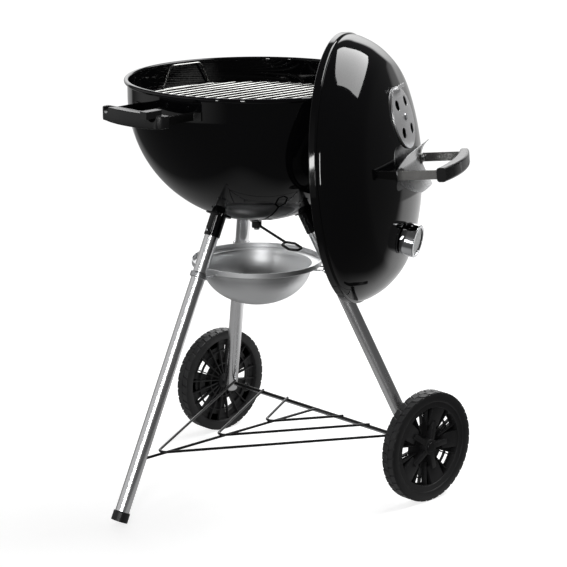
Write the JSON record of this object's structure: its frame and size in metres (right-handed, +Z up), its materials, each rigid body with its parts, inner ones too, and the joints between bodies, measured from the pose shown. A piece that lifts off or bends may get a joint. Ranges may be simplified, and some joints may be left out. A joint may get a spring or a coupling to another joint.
{
  "type": "kettle charcoal grill",
  "caption": "Kettle charcoal grill on a wheeled leg stand, with grates, ash sweep and pan, wire rack, and its vented lid with thermometer hung on the bowl rim.",
  "frame": {"origin": "on the ground under the middle of the whole grill, with the lid hung on the rim", "axes": "+Z up; the front leg is towards -Y, the axle runs along X, and the lid hangs on the +X side"},
  "size_m": [0.6595, 0.6566, 0.8426],
  "materials": {
    "ash_pan": "satin",
    "axle": "bright zinc",
    "bowl": "gloss black enamel",
    "bowl_handle_bracket_back": "satin black",
    "bowl_handle_bracket_front": "satin black",
    "bowl_handle_grip_back": "black glass-filled nylon",
    "bowl_handle_grip_front": "black glass-filled nylon",
    "bowl_handle_screws_back": "bright zinc",
    "bowl_handle_screws_front": "bright zinc",
    "button_spring_front": "brushed",
    "button_spring_left": "brushed",
    "button_spring_right": "brushed",
    "charcoal_grate": "brushed",
    "charcoal_grate_brackets": "gloss black enamel",
    "cooking_grate": "bright zinc",
    "cooking_grate_brackets": "gloss black enamel",
    "foot_cap": "black glass-filled nylon",
    "grate_handle_left": "bright zinc",
    "grate_handle_right": "bright zinc",
    "hub_cap_left": "black glass-filled nylon",
    "hub_cap_right": "black glass-filled nylon",
    "leg_button_front": "bright zinc",
    "leg_button_left": "bright zinc",
    "leg_button_right": "bright zinc",
    "leg_front": "polished",
    "leg_left": "polished",
    "leg_plug_left": "black glass-filled nylon",
    "leg_plug_right": "black glass-filled nylon",
    "leg_right": "polished",
    "leg_socket_front": "gloss black enamel",
    "leg_socket_left": "gloss black enamel",
    "leg_socket_right": "gloss black enamel",
    "lid": "gloss black enamel",
    "lid_damper": "satin",
    "lid_damper_rivet": "bright zinc",
    "lid_handle_bracket": "brushed",
    "lid_handle_grip": "black glass-filled nylon",
    "lid_handle_nuts": "bright zinc",
    "lid_handle_screws": "bright zinc",
    "lid_hanger": "brushed",
    "lid_heat_shield": "satin",
    "pan_clip_front": "bright zinc",
    "pan_clip_left": "bright zinc",
    "pan_clip_right": "bright zinc",
    "sweep_blades": "brushed",
    "sweep_lever": "satin black",
    "sweep_nut": "bright zinc",
    "sweep_shaft": "brushed",
    "thermometer_bezel": "bright",
    "thermometer_case": "bright",
    "thermometer_dial": "matt black",
    "thermometer_lens": "clear",
    "thermometer_needle": "red paint",
    "thermometer_nut": "bright zinc",
    "thermometer_stem": "brushed",
    "wheel_left": "dark grey",
    "wheel_right": "dark grey",
    "wire_rack": "satin black"
  },
  "bodies": {
    "stand": {"bowl": "bowl", "leg_socket_front": "leg_socket_front", "leg_socket_left": "leg_socket_left", "leg_socket_right": "leg_socket_right", "leg_front": "leg_front", "leg_left": "leg_left", "leg_right": "leg_right", "foot_cap": "foot_cap", "leg_plug_left": "leg_plug_left", "leg_plug_right": "leg_plug_right", "axle": "axle", "hub_cap_left": "hub_cap_left", "hub_cap_right": "hub_cap_right", "wire_rack": "wire_rack", "cooking_grate_brackets": "cooking_grate_brackets", "charcoal_grate_brackets": "charcoal_grate_brackets", "bowl_handle_bracket_front": "bowl_handle_bracket_front", "bowl_handle_bracket_back": "bowl_handle_bracket_back", "bowl_handle_grip_front": "bowl_handle_grip_front", "bowl_handle_grip_back": "bowl_handle_grip_back", "bowl_handle_screws_front": "bowl_handle_screws_front", "bowl_handle_screws_back": "bowl_handle_screws_back", "pan_clip_front": "pan_clip_front", "pan_clip_left": "pan_clip_left", "pan_clip_right": "pan_clip_right"},
    "lid": {"lid": "lid", "lid_hanger": "lid_hanger", "lid_handle_bracket": "lid_handle_bracket", "lid_handle_grip": "lid_handle_grip", "lid_heat_shield": "lid_heat_shield", "lid_handle_screws": "lid_handle_screws", "lid_handle_nuts": "lid_handle_nuts", "lid_damper_rivet": "lid_damper_rivet", "thermometer_case": "thermometer_case", "thermometer_bezel": "thermometer_bezel", "thermometer_dial": "thermometer_dial", "thermometer_lens": "thermometer_lens", "thermometer_stem": "thermometer_stem", "thermometer_nut": "thermometer_nut"},
    "damper": {"lid_damper": "lid_damper"},
    "needle": {"thermometer_needle": "thermometer_needle"},
    "sweep": {"sweep_blades": "sweep_blades", "sweep_shaft": "sweep_shaft", "sweep_nut": "sweep_nut", "sweep_lever": "sweep_lever"},
    "wheel_left": {"wheel_left": "wheel_left"},
    "wheel_right": {"wheel_right": "wheel_right"},
    "cooking_grate": {"cooking_grate": "cooking_grate", "grate_handle_left": "grate_handle_left", "grate_handle_right": "grate_handle_right"},
    "charcoal_grate": {"charcoal_grate": "charcoal_grate"},
    "ash_pan": {"ash_pan": "ash_pan"},
    "button_front": {"leg_button_front": "leg_button_front", "button_spring_front": "button_spring_front"},
    "button_left": {"leg_button_left": "leg_button_left", "button_spring_left": "button_spring_left"},
    "button_right": {"leg_button_right": "leg_button_right", "button_spring_right": "button_spring_right"}
  },
  "joints": [
    {"name": "lid_lift", "type": "slide", "parent": "stand", "child": "lid", "axis": [0.4608, 0.2617, 0.848], "range_m": [0, 0.45]},
    {"name": "damper_turn", "type": "hinge", "parent": "lid", "child": "damper", "pos_m": [0.20611, 0.14172, 0.70171], "axis": [0.847, 0.4579, 0.2699], "range_deg": [0, 45]},
    {"name": "needle_turn", "type": "hinge", "parent": "lid", "child": "needle", "pos_m": [0.23014, 0.12202, 0.49285], "axis": [-0.8956, -0.4181, 0.1521], "range_deg": [0, 270], "stiffness_Nm_per_rad": 0.01},
    {"name": "sweep_turn", "type": "hinge", "parent": "stand", "child": "sweep", "pos_m": [-0.0358, 0.0158, 0.49], "axis": [0, 0, 1], "range_deg": [-50, 22]},
    {"name": "wheel_left_spin", "type": "hinge", "parent": "stand", "child": "wheel_left", "pos_m": [-0.3018, 0.1731, 0.1017], "axis": [1, 0, 0], "continuous": true},
    {"name": "wheel_right_spin", "type": "hinge", "parent": "stand", "child": "wheel_right", "pos_m": [0.2302, 0.1731, 0.1017], "axis": [1, 0, 0], "continuous": true},
    {"name": "cooking_grate_lift", "type": "slide", "parent": "stand", "child": "cooking_grate", "axis": [0, 0, 1], "range_m": [0, 0.014]},
    {"name": "charcoal_grate_lift", "type": "slide", "parent": "stand", "child": "charcoal_grate", "axis": [0, 0, 1], "range_m": [0, 0.09]},
    {"name": "ash_pan_lift", "type": "slide", "parent": "stand", "child": "ash_pan", "axis": [0, 0, 1], "range_m": [0, 0.005]},
    {"name": "button_front_press", "type": "slide", "parent": "stand", "child": "button_front", "axis": [0, 0.9073, -0.4204], "range_m": [0, 0.003], "stiffness_N_per_m": 1500, "springref_m": -0.002},
    {"name": "button_left_press", "type": "slide", "parent": "stand", "child": "button_left", "axis": [0.7481, -0.5004, -0.4358], "range_m": [0, 0.003], "stiffness_N_per_m": 1500, "springref_m": -0.002},
    {"name": "button_right_press", "type": "slide", "parent": "stand", "child": "button_right", "axis": [-0.7481, -0.5004, -0.4358], "range_m": [0, 0.003], "stiffness_N_per_m": 1500, "springref_m": -0.002}
  ]
}
